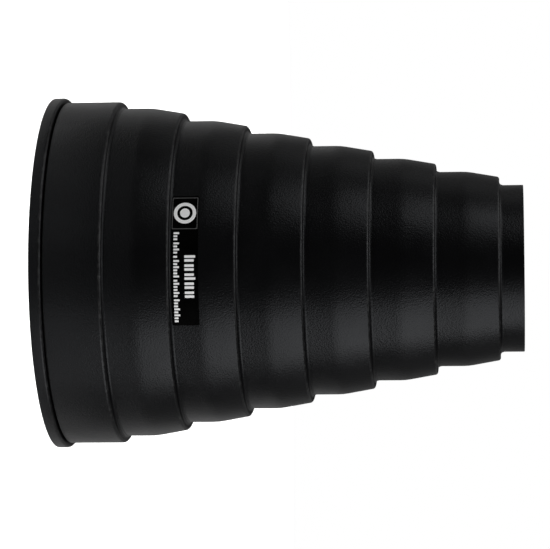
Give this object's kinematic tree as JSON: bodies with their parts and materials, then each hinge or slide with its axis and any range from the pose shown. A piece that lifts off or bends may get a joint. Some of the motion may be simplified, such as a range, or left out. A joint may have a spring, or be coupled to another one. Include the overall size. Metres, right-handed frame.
{
  "type": "snoot",
  "caption": "Stepped conical snoot that narrows a studio light to a small round beam, with a round mounting flange and a plain nose tube.",
  "frame": {"origin": "centre of the mounting flange's rear face, where the snoot stands on a table and where it seats on a light", "axes": "+Z along the beam's axis towards the nose, -Y out of the label's face, +X along the label's reading direction"},
  "size_m": [0.18, 0.18, 0.2392],
  "materials": {
    "shell_paint": "satin",
    "inner_paint": "matte",
    "rivet_black": "satin",
    "label_film": "gloss",
    "label_print": "satin"
  },
  "bodies": {
    "root": {"mounting_flange": "shell_paint", "spacer_ring": "inner_paint", "rear_section": "shell_paint", "flange_rivet_1": "rivet_black", "flange_rivet_2": "rivet_black", "flange_rivet_3": "rivet_black", "flange_rivet_4": "rivet_black", "flange_rivet_5": "rivet_black", "flange_rivet_6": "rivet_black", "barrel_section_2": "shell_paint", "barrel_section_3": "shell_paint", "barrel_section_4": "shell_paint", "barrel_section_5": "shell_paint", "barrel_section_6": "shell_paint", "barrel_section_7": "shell_paint", "nose_tube": "shell_paint", "retaining_ring_1": "inner_paint", "retaining_ring_2": "inner_paint", "retaining_ring_3": "inner_paint", "retaining_ring_4": "inner_paint", "retaining_ring_5": "inner_paint", "retaining_ring_6": "inner_paint", "retaining_ring_7": "inner_paint", "label_panel": "label_film"}
  },
  "joints": []
}
